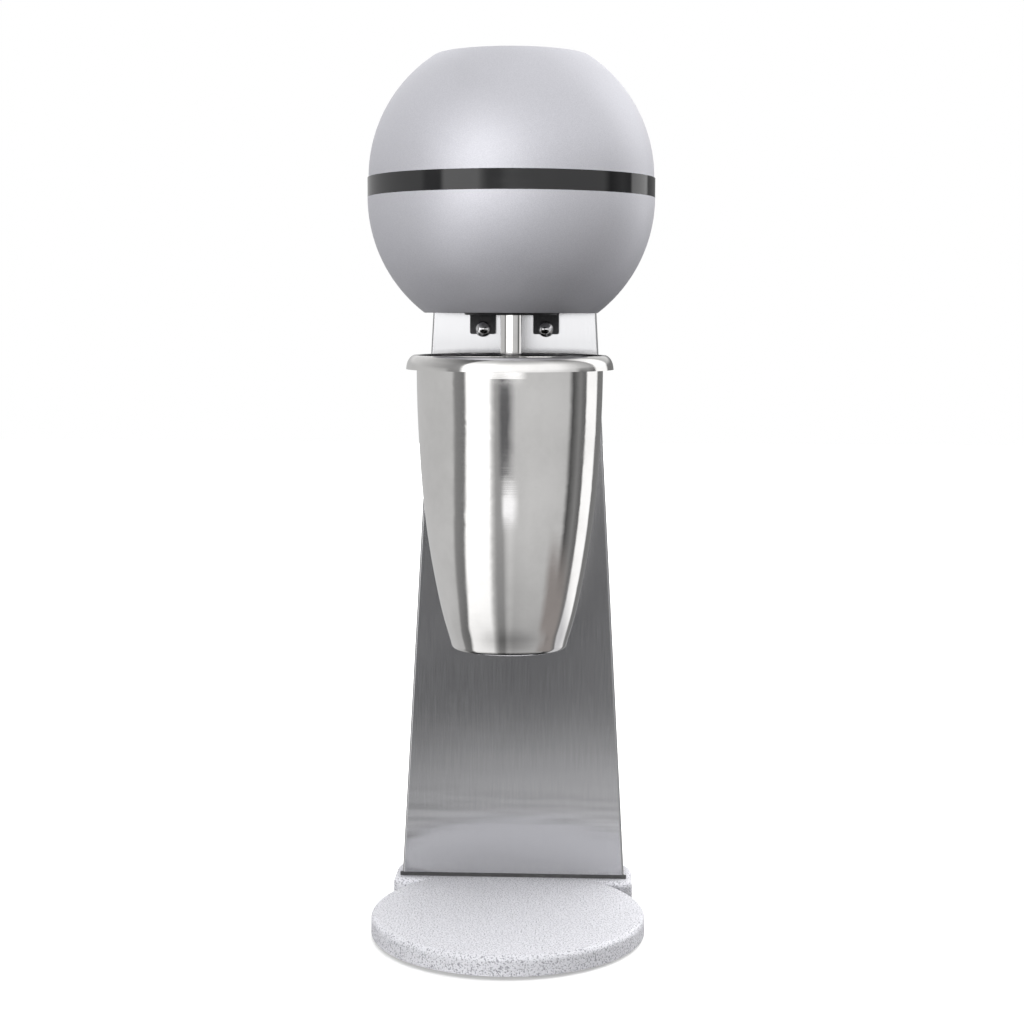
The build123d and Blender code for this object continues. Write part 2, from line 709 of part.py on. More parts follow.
# ---- cup ----
def make_cup():
    """Tall tapering stainless cup with a turned-down rim and a raised bottom."""
    z0 = cup_bottom_z
    top = cup_top_z
    side = [(33.0, z0 + 2.6), (35.2, 175.5), (41.0, 200.0), (46.8, 236.0), (50.3, 277.0),
            (51.8, top - 11.5)]
    rim_out = [(51.8, top - 3.0), (53.2, top - cup_wall), (55.3, top - 2.6), (56.5, top - 5.2),
               (56.9, top - 7.8)]
    edges = []
    edges.append(Line((0, z0 + 2.5), (24.0, z0 + 2.5)))
    edges.append(Spline((24.0, z0 + 2.5), (25.6, z0 + 1.25), (27.2, z0),
                        tangents=[(1, 0), (1, 0)]))
    edges.append(Line((27.2, z0), (30.8, z0)))
    edges.append(Spline((30.8, z0), side[0], tangents=[(1, 0), (0.23, 1)]))
    edges.append(Spline(*side, tangents=[(0.23, 1), (0.01, 1)]))
    edges.append(Line(side[-1], rim_out[0]))
    edges.append(Spline(*rim_out, tangents=[(0, 1), (0.1, -1)]))
    edges.append(Line(rim_out[-1], (57.7, top - 7.8)))
    edges.append(Spline((57.7, top - 7.8), (57.2, top - 4.6), (55.8, top - 1.8), (53.2, top),
                        (51.0, top - 3.0), tangents=[(-0.1, 1), (0, -1)]))
    inner = [(x - cup_wall, z) for x, z in reversed(side)]
    edges.append(Line((51.0, top - 3.0), inner[0]))
    edges.append(Spline(*inner, tangents=[(-0.01, -1), (-0.23, -1)]))
    edges.append(Spline(inner[-1], (30.4, z0 + cup_wall), tangents=[(-0.23, -1), (-1, 0)]))
    edges.append(Line((30.4, z0 + cup_wall), (27.4, z0 + cup_wall)))
    edges.append(Spline((27.4, z0 + cup_wall), (25.8, z0 + 2.05), (24.2, z0 + 2.5 + cup_wall),
                        tangents=[(-1, 0), (-1, 0)]))
    edges.append(Line((24.2, z0 + 2.5 + cup_wall), (0, z0 + 2.5 + cup_wall)))
    edges.append(Line((0, z0 + 2.5 + cup_wall), (0, z0 + 2.5)))
    face = make_face(Plane.XZ * Wire(edges))
    return Pos(0, cup_y, 0) * revolve(face, Axis.Z)


# ---- cup hook and its switch ----
def make_cup_hook():
    """Lever whose curved lip carries the cup's rim, with two ears on the pivot pin."""
    plate_low = hook_plate_z - 1.5
    plate_high = hook_plate_z + 0.5
    lip_inner = 52.7
    lip_outer = 54.1
    plate = block(-hook_width / 2, hook_width / 2, 20, hook_pivot_y + 10.0, plate_low, plate_high)
    plate -= rod(lip_inner, plate_low - 1, plate_high + 1, 0, cup_y)
    lip = rod(lip_outer, plate_low, cup_top_z - 2.4, 0, cup_y)
    lip -= rod(lip_inner, plate_low - 1, cup_top_z + 2, 0, cup_y)
    lip &= block(-hook_width / 2, hook_width / 2, 20, hook_pivot_y, plate_low, cup_top_z + 2)
    body = plate + lip
    for side in (-1, 1):
        x0, x1 = sorted((side * (hook_width / 2 - 2), side * hook_width / 2))
        ear = block(x0, x1, hook_pivot_y - 4.5, hook_pivot_y + 4.5, hook_plate_z - 7.5, plate_high)
        body += ear
    body -= rod_x(hook_pin_radius + running_gap, -40, 40, hook_pivot_y, hook_axis_z)
    return body


def make_hook_pin():
    """Pin that the hook turns on."""
    reach = hook_width / 2 + 3.0
    return rod_x(hook_pin_radius, -reach, reach, hook_pivot_y, hook_axis_z)


def make_hook_bracket():
    """Folded bracket inside the column that holds the pin and the cup switch."""
    gap = hook_width / 2 + 1.0
    inner_y = column_face_y + sheet
    low = hook_axis_z - 9.0
    high = ear_screw_z + 6.0
    plate_high = hook_plate_z + 24.0
    body = block(-gap - 1.5, gap + 1.5, inner_y, inner_y + 1.5, low, hook_plate_z - 4.5)
    body += block(-gap - 1.5, gap + 1.5, inner_y, inner_y + 1.5, hook_plate_z + 5.5, high)
    for side in (-1, 1):
        x0, x1 = sorted((side * gap, side * (gap + 1.5)))
        body += block(x0, x1, inner_y, column_back_y - 4.0, low, high)
    body += block(-gap - 1.5, gap + 1.5, switch_face_y - 1.5, switch_face_y,
                  hook_plate_z + 5.0, plate_high)
    body += block(-gap - 1.5, gap + 1.5, inner_y, inner_y + 12.0, low, low + 1.5)
    body -= rod_x(2.02, -40, 40, hook_pivot_y, hook_axis_z)
    for side in (-1, 1):
        body -= rod_y(2.02, inner_y - 1, inner_y + 3, side * ear_spacing / 2, ear_screw_z)
    for x in (-11.0, 11.0):
        body -= rod_y(1.5, switch_face_y - 3, switch_face_y + 1, x, switch_screw_z)
    return body


def make_cup_switch():
    """Snap-action switch that the hook's tail works."""
    back = switch_face_y + 10.3
    body = block(-14.0, 14.0, switch_face_y, back, switch_body_low, switch_body_low + 16)
    body = fillet(body.edges().filter_by(Axis.Y), 1.0)
    for x in (-11.0, 11.0):
        body -= rod_y(1.5, switch_face_y - 1, back + 1, x, switch_screw_z)
    for x in (-9.0, 0.0, 9.0):
        body += block(x - 2.4, x + 2.4, switch_face_y + 4.8, switch_face_y + 5.5,
                      switch_body_low + 15, switch_tab_top)
    body -= rod(1.6, switch_body_low - 1, switch_body_low + 7, 0, plunger_y)
    return body


def make_switch_plunger():
    """Small plunger under the switch."""
    body = rod(1.5, hook_plate_z + 0.5 + clearance, switch_body_low + 5, 0, plunger_y)
    return fillet(body.faces().sort_by(Axis.Z)[0].edges(), 0.5)


def make_switch_screws():
    """Two small screws through the switch."""
    screws = []
    back = switch_face_y + 10.3
    for x in (-11.0, 11.0):
        head = rod_y(2.6, back, back + 1.7, x, switch_screw_z)
        screws.append(head + rod_y(1.45, switch_face_y - 3.0, back, x, switch_screw_z))
    return group(*screws)


def make_hook_spring():
    """Spring on the bracket's shelf that lifts the hook."""
    shelf = hook_axis_z - 7.5
    spring = coil_spring(3.0, 0.8, 1.6, 8.6)
    return Pos(0, column_face_y + sheet + 5.4, shelf + 0.45) * spring


# ---- cup bumper ----
def make_cup_bumper():
    """Rubber stop on the column that steadies the hanging cup."""
    reach = 11.3
    body = Pos(0, column_face_y - reach / 2, bumper_z) * Rot(90, 0, 0) * Cone(12.0, 9.0, reach)
    body = fillet(body.faces().sort_by(Axis.Y)[0].edges(), 1.5)
    body -= rod_y(4.6, column_face_y - reach - 1, column_face_y - 4.0, 0, bumper_z)
    return body - rod_y(2.1, column_face_y - 9, column_face_y + 1, 0, bumper_z)


def make_bumper_screw():
    """Screw sunk in the bumper."""
    head = rod_y(3.6, column_face_y - 6.4, column_face_y - 4.0, 0, bumper_z)
    return head + rod_y(2.0, column_face_y - 4.0, column_face_y + sheet + 4, 0, bumper_z)


# ---- on/off switch, gland and connections ----
def make_rocker_frame():
    """Housing of the on/off switch, snapped into the back cover."""
    y1 = cover_back_y
    bezel = block(-7.5, 7.5, y1, y1 + 1.8, switch_z - 10.8, switch_z + 10.8)
    bezel = fillet(bezel.edges().filter_by(Axis.Y), 1.5)
    bezel = chamfer(bezel.faces().sort_by(Axis.Y)[-1].edges(), 0.5)
    body = bezel + block(-6.5, 6.5, y1 - 15, y1, switch_z - 9.7, switch_z + 9.7)
    body -= block(-5.6, 5.6, y1 - 9.5, y1 + 3, switch_z - 9.0, switch_z + 9.0)
    for z in (-6.0, 0.0, 6.0):
        body += block(-2.4, 2.4, rocker_tab_tip_y, y1 - 14, switch_z + z - 0.4, switch_z + z + 0.4)
    body -= rod_x(1.05, -6.2, 6.2, rocker_axis_y, switch_z)
    return body


def make_rocker_key():
    """Key of the on/off switch, leaning to off, on two small pins."""
    face = outline_xz([(-8.5, -3.0), (8.5, -3.0), (8.5, 3.6), (0, 1.9), (-8.5, 3.6)])
    key = extrude(face, 5.3, both=True)
    key &= Rot(90, 0, 0) * Cylinder(8.6, 20)
    key += Rot(90, 0, 0) * Cylinder(1.0, 12.0)
    key = Rot(0, 0, 90) * key
    key = Rot(-90 - rocker_tilt, 0, 0) * key
    return Pos(0, rocker_axis_y, switch_z) * key


def make_cord_gland():
    """Bushing in the back cover where the supply cord would enter."""
    y1 = cover_back_y
    body = rod_y(8.5, y1, y1 + 2.5, 0, gland_z)
    body += rod_y(6.0, y1 - 8, y1, 0, gland_z)
    body += rod_y(7.2, y1 - 8, y1 - 5, 0, gland_z)
    body += Pos(0, y1 + 4.0, gland_z) * Rot(-90, 0, 0) * Cone(7.0, 5.6, 3.2)
    return body - rod_y(cord_radius, y1 - 9, y1 + 8, 0, gland_z)


def make_terminal_block():
    """Three-way terminal block on the inside of the back cover."""
    y1 = column_back_y
    body = block(-17.0, 17.0, y1 - 12, y1, terminal_z - 8, terminal_z + 8)
    body = fillet(body.edges().filter_by(Axis.Y), 1.5)
    for x in (-7.0, 0.0, 7.0):
        body -= rod_y(1.9, y1 - 13, y1 - 7, x, terminal_z - 4)
        body -= rod_y(1.9, y1 - 13, y1 - 7, x, terminal_z + 4)
    for x in (-terminal_screw_x, terminal_screw_x):
        body -= rod_y(1.6, y1 - 13, y1 + 1, x, terminal_z)
    return body


def make_terminal_screws():
    """Screws that hold the terminal block on the cover, from inside the column."""
    screws = []
    for x in (-terminal_screw_x, terminal_screw_x):
        head = rod_y(2.6, column_back_y - 13.8, column_back_y - 12, x, terminal_z)
        screws.append(head + rod_y(1.5, column_back_y - 12, cover_back_y, x, terminal_z))
    return group(*screws)


def make_capacitor():
    """Radio-interference capacitor above the terminal block."""
    y1 = column_back_y
    body = block(-13.0, 13.0, y1 - 10, y1, terminal_z + 16, terminal_z + 34)
    body = fillet(body.edges().filter_by(Axis.Y), 1.5)
    for x in (-11.0, 11.0):
        body += rod(0.5, terminal_z + 8.4, terminal_z + 17, x, y1 - 5)
    return body


def make_lead_grommets():
    """Two rubber grommets where the motor's leads pass through the column's face."""
    grommets = []
    y0 = column_face_y
    y1 = column_face_y + sheet
    for x in (-lead_hole_x, lead_hole_x):
        body = rod_y(4.2, y0 - 1, y0, x, lead_hole_z)
        body += rod_y(2.98, y0, y1, x, lead_hole_z)
        body += rod_y(4.2, y1, y1 + 1, x, lead_hole_z)
        grommets.append(body - rod_y(lead_radius + 0.1, y0 - 2, y1 + 2, x, lead_hole_z))
    return group(*grommets)


def lead(*points):
    """Round insulated wire along straight runs with rounded bends."""
    path = FilletPolyline(*points, radius=2.5)
    section = Plane(path @ 0, z_dir=path % 0) * Circle(lead_radius)
    return sweep(section, path)


def make_internal_leads():
    """Wires between the terminals, the two switches and the motor, and the earth wire."""
    entry_y = column_back_y - 8.0
    run_y = column_face_y + 6.0
    over_bracket_z = ear_screw_z + 11.0
    switch_tab_y = switch_face_y + 5.15
    coil_top_z = stack_high_z + coil_overhang + 0.1
    coil_lead_x = 27.0
    inside_head_y = column_face_y - 9.0
    around_motor_x = 33.0
    around_motor_z = coil_top_z + 5.0
    coil_end_y = spindle_y + 8.0
    up = terminal_z + 4.0
    live = lead((0, entry_y, up), (0, run_y, up), (-27, run_y, up), (-27, run_y, switch_z - 6),
                (0, run_y, switch_z - 6), (0, rocker_tab_tip_y - 0.1, switch_z - 6))
    switched = lead((0, rocker_tab_tip_y - 0.1, switch_z), (0, run_y - 3, switch_z),
                    (-30, run_y - 3, switch_z), (-30, run_y - 3, over_bracket_z),
                    (-30, switch_tab_y, over_bracket_z), (-9, switch_tab_y, over_bracket_z),
                    (-9, switch_tab_y, switch_tab_top + 0.1))
    to_motor = lead((9, switch_tab_y, switch_tab_top + 0.1), (9, switch_tab_y, over_bracket_z),
                    (lead_hole_x, switch_tab_y, over_bracket_z),
                    (lead_hole_x, switch_tab_y, lead_hole_z),
                    (lead_hole_x, inside_head_y, lead_hole_z),
                    (around_motor_x, inside_head_y, lead_hole_z + 9),
                    (around_motor_x, inside_head_y, around_motor_z),
                    (around_motor_x, coil_end_y, around_motor_z),
                    (coil_lead_x, coil_end_y, around_motor_z), (coil_lead_x, coil_end_y, coil_top_z))
    neutral = lead((-7, entry_y, up), (-7, run_y, up), (-34, run_y, up), (-34, run_y, lead_hole_z - 6),
                   (-lead_hole_x, run_y + 5, lead_hole_z),
                   (-lead_hole_x, inside_head_y, lead_hole_z),
                   (-around_motor_x, inside_head_y, lead_hole_z + 9),
                   (-around_motor_x, inside_head_y, around_motor_z),
                   (-around_motor_x, coil_end_y, around_motor_z),
                   (-coil_lead_x, coil_end_y, around_motor_z), (-coil_lead_x, coil_end_y, coil_top_z))
    earth = lead((7, entry_y, terminal_z - 4), (7, run_y, terminal_z - 4), (23.5, run_y, terminal_z - 4),
                 (23.5, run_y, 40), (23.5, 72, 34), (23.5, 72, column_foot_z + sheet + 4.1))
    brush_leads = []
    for turn in (0, 180):
        wire = lead((24.5, 6, coil_top_z), (24.5, 6, brush_z), (4.0, 17, brush_z))
        brush_leads.append(about_spindle(Rot(0, 0, turn) * wire))
    return group(live, switched, to_motor, neutral, earth, *brush_leads)


pieces = {
    "base_casting": make_base_casting(),
    "rubber_feet": make_rubber_feet(),
    "foot_screws": make_foot_screws(),
    "column_gasket": make_column_gasket(),
    "column_front": make_column_front(),
    "column_back_cover": make_column_back(),
    "back_cover_screws": make_cover_screws(),
    "column_foot_bolts": make_foot_bolts(),
    "column_foot_nuts": make_foot_nuts(),
    "upper_shell": make_upper_shell(),
    "band_ring": make_band_ring(),
    "lower_shell": make_lower_shell(),
    "underside_cover": make_underside_cover(),
    "underside_screws": make_underside_screws(),
    "spindle_seal": make_spindle_seal(),
    "tie_bolt": make_tie_bolt(),
    "top_plug": make_top_plug(),
    "motor_bracket": make_motor_bracket(),
    "ear_screws": make_ear_screws(),
    "flange_bolts": make_flange_bolts(),
    "lower_motor_frame": make_lower_motor_frame(),
    "upper_motor_frame": make_upper_motor_frame(),
    "motor_screws": make_motor_screws(),
    "stator_core": make_stator_core(),
    "field_coils": make_field_coils(),
    "armature_core": make_armature_core(),
    "armature_winding": make_armature_winding(),
    "armature_shaft": make_armature_shaft(),
    "commutator": make_commutator(),
    "cooling_fan": make_cooling_fan(),
    "lower_bearing": make_bearing(lower_bearing_z),
    "upper_bearing": make_bearing(upper_bearing_z),
    "brush_holders": make_brush_holders(),
    "carbon_brushes": make_carbon_brushes(),
    "brush_springs": make_brush_springs(),
    "spindle": make_spindle(),
    "agitator": make_agitator(),
    "agitator_nut": make_agitator_nut(),
    "cup": make_cup(),
    "cup_hook": make_cup_hook(),
    "hook_pin": make_hook_pin(),
    "hook_bracket": make_hook_bracket(),
    "hook_spring": make_hook_spring(),
    "cup_switch": make_cup_switch(),
    "switch_plunger": make_switch_plunger(),
    "switch_screws": make_switch_screws(),
    "cup_bumper": make_cup_bumper(),
    "bumper_screw": make_bumper_screw(),
    "rocker_frame": make_rocker_frame(),
    "rocker_key": make_rocker_key(),
    "cord_gland": make_cord_gland(),
    "terminal_block": make_terminal_block(),
    "terminal_screws": make_terminal_screws(),
    "capacitor": make_capacitor(),
    "internal_leads": make_internal_leads(),
    "lead_grommets": make_lead_grommets(),
}

os.makedirs("parts", exist_ok=True)
for name, shape in pieces.items():
    export_step(shape, f"parts/{name}.step")
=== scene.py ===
import json
import math

import bpy
from mathutils import Matrix, Vector


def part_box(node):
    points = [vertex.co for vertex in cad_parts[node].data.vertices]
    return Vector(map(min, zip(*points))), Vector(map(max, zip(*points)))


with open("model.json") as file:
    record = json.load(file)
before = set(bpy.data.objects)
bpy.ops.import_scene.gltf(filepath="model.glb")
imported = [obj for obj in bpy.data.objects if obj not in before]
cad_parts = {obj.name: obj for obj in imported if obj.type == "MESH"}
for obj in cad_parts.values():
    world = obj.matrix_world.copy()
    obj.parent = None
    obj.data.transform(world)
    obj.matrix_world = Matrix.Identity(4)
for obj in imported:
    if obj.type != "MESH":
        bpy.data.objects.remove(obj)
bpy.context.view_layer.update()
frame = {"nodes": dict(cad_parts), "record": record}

scene = bpy.context.scene
scene.view_settings.view_transform = "Standard"

SPINDLE_Y = sum(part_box("spindle")[i].y for i in (0, 1)) / 2

# Camera: focal length and sensor in millimetres, place in metres, angles in degrees.
LENS = 65.74
SENSOR = 36.0
CAMERA_RIGHT = 0.0483
CAMERA_AHEAD = 1.0547      # in front of the spindle
CAMERA_HEIGHT = 0.3534
CAMERA_YAW = 2.573
CAMERA_PITCH = 6.109
CAMERA_ROLL = 0.178

FLOOR_HALF = 4.0


# ---- camera ----
def make_camera():
    """A long lens a little above the cup's rim, to the right of the middle, turned slightly left."""
    data = bpy.data.cameras.new("camera")
    data.sensor_width = SENSOR
    data.lens = LENS
    data.clip_start = 0.05
    data.clip_end = 50.0
    camera = bpy.data.objects.new("camera", data)
    scene.collection.objects.link(camera)
    yaw, pitch, roll = (math.radians(a) for a in (CAMERA_YAW, CAMERA_PITCH, CAMERA_ROLL))
    turn = Matrix.Rotation(yaw, 3, "Z") @ Matrix.Rotation(math.pi / 2 - pitch, 3, "X")
    turn = turn @ Matrix.Rotation(roll, 3, "Z")
    place = Vector((CAMERA_RIGHT, SPINDLE_Y - CAMERA_AHEAD, CAMERA_HEIGHT))
    camera.matrix_world = Matrix.Translation(place) @ turn.to_4x4()
    scene.camera = camera


make_camera()


# ---- node helpers ----
class Shader:
    """One material's node tree, with short calls for the nodes that the recipes use."""

    def __init__(self, name, colour, roughness, metallic=0.0, **values):
        self.material = bpy.data.materials.new(name)
        self.material.use_nodes = True
        self.tree = self.material.node_tree
        self.nodes = self.tree.nodes
        self.main = self.nodes["Principled BSDF"]
        self.set("Base Color", (*colour, 1.0))
        self.set("Roughness", roughness)
        self.set("Metallic", metallic)
        for socket, value in values.items():
            self.set(socket.replace("_", " "), value)
        self.place = self.nodes.new("ShaderNodeTexCoord").outputs["Object"]

    def set(self, socket, value):
        """A value that is the same all over the surface."""
        self.main.inputs[socket].default_value = value

    def link(self, output, socket):
        """Joins an output to one of the main shader's sockets."""
        self.tree.links.new(output, self.main.inputs[socket])

    def add(self, kind, **settings):
        """A node of one kind with its properties set."""
        node = self.nodes.new(kind)
        for name, value in settings.items():
            setattr(node, name, value)
        return node

    def stretched(self, scale):
        """Coordinates scaled differently along each axis."""
        node = self.add("ShaderNodeMapping")
        node.inputs["Scale"].default_value = scale
        self.tree.links.new(self.place, node.inputs["Vector"])
        return node.outputs["Vector"]

    def upright(self):
        """Height over the table in metres."""
        node = self.add("ShaderNodeSeparateXYZ")
        self.tree.links.new(self.place, node.inputs["Vector"])
        return node.outputs["Z"]

    def noise(self, scale, detail=3.0, rough=0.5, distortion=0.0, vector=None):
        """Fractal noise, scale in cycles per metre."""
        node = self.add("ShaderNodeTexNoise")
        self.tree.links.new(vector or self.place, node.inputs["Vector"])
        node.inputs["Scale"].default_value = scale
        node.inputs["Detail"].default_value = detail
        node.inputs["Roughness"].default_value = rough
        node.inputs["Distortion"].default_value = distortion
        return node.outputs["Fac"]

    def ramp(self, value, low, high, to_low=0.0, to_high=1.0):
        """Smooth step from one range to another."""
        node = self.add("ShaderNodeMapRange", interpolation_type="SMOOTHSTEP")
        self.tree.links.new(value, node.inputs["Value"])
        node.inputs["From Min"].default_value = low
        node.inputs["From Max"].default_value = high
        node.inputs["To Min"].default_value = to_low
        node.inputs["To Max"].default_value = to_high
        return node.outputs["Result"]

    def math(self, operation, a, b=None):
        """Arithmetic on outputs or numbers."""
        node = self.add("ShaderNodeMath", operation=operation)
        for socket, value in zip(node.inputs, (a, b)):
            if value is None:
                continue
            if isinstance(value, (int, float)):
                socket.default_value = value
            else:
                self.tree.links.new(value, socket)
        return node.outputs["Value"]

    def mix(self, factor, a, b):
        """Blends two colours, each an output or three numbers."""
        node = self.add("ShaderNodeMix", data_type="RGBA")
        self.tree.links.new(factor, node.inputs["Factor"])
        for name, value in (("A", a), ("B", b)):
            socket = [s for s in node.inputs if s.name == name and s.type == "RGBA"][0]
            if isinstance(value, tuple):
                socket.default_value = (*value, 1.0)
            else:
                self.tree.links.new(value, socket)
        return [s for s in node.outputs if s.type == "RGBA"][0]

    def bump(self, height, distance, strength=1.0, under=None):
        """Surface relief; distance is its depth in metres."""
        node = self.add("ShaderNodeBump")
        node.inputs["Strength"].default_value = strength
        node.inputs["Distance"].default_value = distance
        self.tree.links.new(height, node.inputs["Height"])
        if under is not None:
            self.tree.links.new(under, node.inputs["Normal"])
        return node.outputs["Normal"]


# ---- materials ----
def painted_silver():
    """Satin metallic paint on the head: fine flake, faint orange peel."""
    s = Shader("painted_silver", (0.55, 0.55, 0.58), 0.5, metallic=0.45)
    flake = s.noise(2600.0, detail=2.0)
    cloud = s.noise(14.0, detail=4.0)
    base = s.mix(s.ramp(flake, 0.3, 0.7), (0.50, 0.50, 0.54), (0.60, 0.60, 0.64))
    base = s.mix(s.ramp(cloud, 0.3, 0.75, 0.0, 0.25), base, (0.54, 0.54, 0.57))
    s.link(base, "Base Color")
    s.link(s.ramp(s.noise(30.0), 0.3, 0.7, 0.48, 0.56), "Roughness")
    s.link(s.bump(s.noise(1100.0, detail=2.0), 0.00004), "Normal")
    return s.material


def textured_silver():
    """Thick textured paint on the base; its small pits are coloured dark as painted shade in the hollows
    of the relief.
    """
    s = Shader("textured_silver", (0.68, 0.68, 0.71), 0.46, metallic=0.15)
    orange = s.noise(1150.0, detail=2.0, rough=0.55)
    # painted shade: the colour turns dark in the hollows of the bump relief, standing in for the shade
    # that falls in the pits; the same mask also makes them rougher
    shaded_pits = s.ramp(orange, 0.39, 0.485)
    fine = s.noise(2200.0, detail=2.0)
    base = s.mix(shaded_pits, (0.25, 0.25, 0.28), (0.71, 0.71, 0.75))
    base = s.mix(s.ramp(fine, 0.35, 0.7, 0.0, 0.35), base, (0.78, 0.78, 0.81))
    s.link(base, "Base Color")
    s.link(s.ramp(shaded_pits, 0.0, 1.0, 0.62, 0.44), "Roughness")
    relief = s.bump(orange, 0.0006, 0.8)
    s.link(s.bump(fine, 0.0001, 0.5, under=relief), "Normal")
    return s.material


def gloss_black():
    """Polished black band with faint scuffs."""
    s = Shader("gloss_black", (0.012, 0.012, 0.013), 0.07, IOR=1.65)
    scuffs = s.noise(60.0, detail=6.0, rough=0.65, vector=s.stretched((1.0, 1.0, 6.0)))
    s.link(s.ramp(scuffs, 0.45, 0.8, 0.05, 0.14), "Roughness")
    s.link(s.mix(s.ramp(s.noise(20.0), 0.3, 0.7), (0.010, 0.010, 0.011), (0.016, 0.016, 0.017)),
           "Base Color")
    return s.material


def black_moulding(name="black_plastic", roughness=0.5, grain=1400.0):
    """Moulded or powder-coated black with a fine grain."""
    s = Shader(name, (0.03, 0.03, 0.033), roughness)
    fine = s.noise(grain, detail=3.0)
    s.link(s.mix(s.ramp(fine, 0.3, 0.7), (0.022, 0.022, 0.025), (0.042, 0.042, 0.046)), "Base Color")
    s.link(s.ramp(s.noise(40.0), 0.3, 0.7, roughness - 0.07, roughness + 0.08), "Roughness")
    s.link(s.bump(fine, 0.00005, 0.6), "Normal")
    return s.material


def rubber():
    """Black rubber, slightly dusty."""
    s = Shader("black_rubber", (0.03, 0.03, 0.03), 0.7)
    dust = s.ramp(s.noise(120.0, detail=5.0, rough=0.65), 0.45, 0.75)
    s.link(s.mix(dust, (0.024, 0.024, 0.025), (0.06, 0.06, 0.06)), "Base Color")
    s.link(s.ramp(dust, 0.0, 1.0, 0.62, 0.82), "Roughness")
    s.link(s.bump(s.noise(900.0), 0.00006, 0.5), "Normal")
    return s.material


def brushed_stainless():
    """Sheet brushed along its height: fine lines, a softly varying sheen, slight waves near the foot."""
    s = Shader("brushed_stainless", (0.46, 0.46, 0.47), 0.16, metallic=1.0)
    lines = s.noise(1.0, detail=4.0, rough=0.7, vector=s.stretched((2600.0, 2600.0, 40.0)))
    broad = s.noise(11.0, detail=3.0)
    s.link(s.mix(s.ramp(lines, 0.3, 0.7), (0.44, 0.44, 0.45), (0.48, 0.48, 0.49)), "Base Color")
    rough = s.math("ADD", s.ramp(lines, 0.3, 0.7, 0.155, 0.175), s.ramp(broad, 0.3, 0.7, -0.015, 0.015))
    s.link(rough, "Roughness")
    waves = s.noise(9.0, detail=2.0, vector=s.stretched((1.0, 1.0, 7.0)))
    waves = s.math("MULTIPLY", waves, s.ramp(s.upright(), 0.02, 0.075, 0.8, 0.02))
    sheet = s.bump(waves, 0.0012, 0.35)
    s.link(s.bump(lines, 0.000001, 0.3, under=sheet), "Normal")
    tangent = s.add("ShaderNodeTangent", direction_type="RADIAL", axis="Z")
    s.set("Anisotropic", 0.85)
    s.link(tangent.outputs["Tangent"], "Tangent")
    return s.material


def polished_stainless():
    """Spun and polished steel: mirror finish with faint rings and a slightly wavy wall."""
    s = Shader("polished_stainless", (0.80, 0.79, 0.78), 0.08, metallic=1.0)
    rings = s.noise(1.0, detail=3.0, vector=s.stretched((8.0, 8.0, 2200.0)))
    smears = s.noise(35.0, detail=5.0, rough=0.6)
    s.link(s.mix(s.ramp(smears, 0.35, 0.75), (0.83, 0.82, 0.81), (0.76, 0.75, 0.74)), "Base Color")
    s.link(s.math("ADD", s.ramp(smears, 0.4, 0.8, 0.05, 0.12), s.ramp(rings, 0.3, 0.7, 0.0, 0.03)),
           "Roughness")
    wavy = s.bump(s.noise(16.0, detail=1.0, vector=s.stretched((1.0, 1.0, 0.35))), 0.0009, 0.5)
    s.link(s.bump(rings, 0.000008, 0.5, under=wavy), "Normal")
    return s.material


def metal(name, colour, roughness, grain=900.0, spread=0.08, depth=0.00003):
    """Plain metal with grain and patchy sheen."""
    s = Shader(name, colour, roughness, metallic=1.0)
    fine = s.noise(grain, detail=3.0)
    dark = tuple(c * (1 - spread) for c in colour)
    light = tuple(min(1.0, c * (1 + spread)) for c in colour)
    s.link(s.mix(s.ramp(fine, 0.3, 0.7), dark, light), "Base Color")
    s.link(s.ramp(s.noise(70.0, detail=4.0), 0.3, 0.7, roughness - 0.05, roughness + 0.07), "Roughness")
    s.link(s.bump(fine, depth, 0.5), "Normal")
    return s.material


def laminations():
    """Stacked steel sheets with fine horizontal joints."""
    s = Shader("laminations", (0.30, 0.31, 0.33), 0.42, metallic=1.0)
    stack = s.noise(1.0, detail=1.0, vector=s.stretched((3.0, 3.0, 2000.0)))
    s.link(s.mix(s.ramp(stack, 0.35, 0.65), (0.2, 0.2, 0.22), (0.42, 0.42, 0.44)), "Base Color")
    s.link(s.bump(stack, 0.0001, 0.8), "Normal")
    return s.material


def copper():
    """Enamelled winding wire."""
    s = Shader("copper", (0.62, 0.28, 0.12), 0.3, metallic=1.0)
    wires = s.noise(1.0, detail=2.0, vector=s.stretched((1800.0, 1800.0, 60.0)))
    s.link(s.mix(s.ramp(wires, 0.3, 0.7), (0.42, 0.16, 0.07), (0.72, 0.36, 0.17)), "Base Color")
    s.link(s.bump(wires, 0.0002, 0.8), "Normal")
    return s.material


def plastic(name, colour, roughness=0.45):
    """Light moulded plastic with a faint grain."""
    s = Shader(name, colour, roughness)
    fine = s.noise(800.0, detail=3.0)
    dark = tuple(c * 0.9 for c in colour)
    s.link(s.mix(s.ramp(fine, 0.3, 0.7), dark, colour), "Base Color")
    s.link(s.bump(fine, 0.00003, 0.5), "Normal")
    return s.material


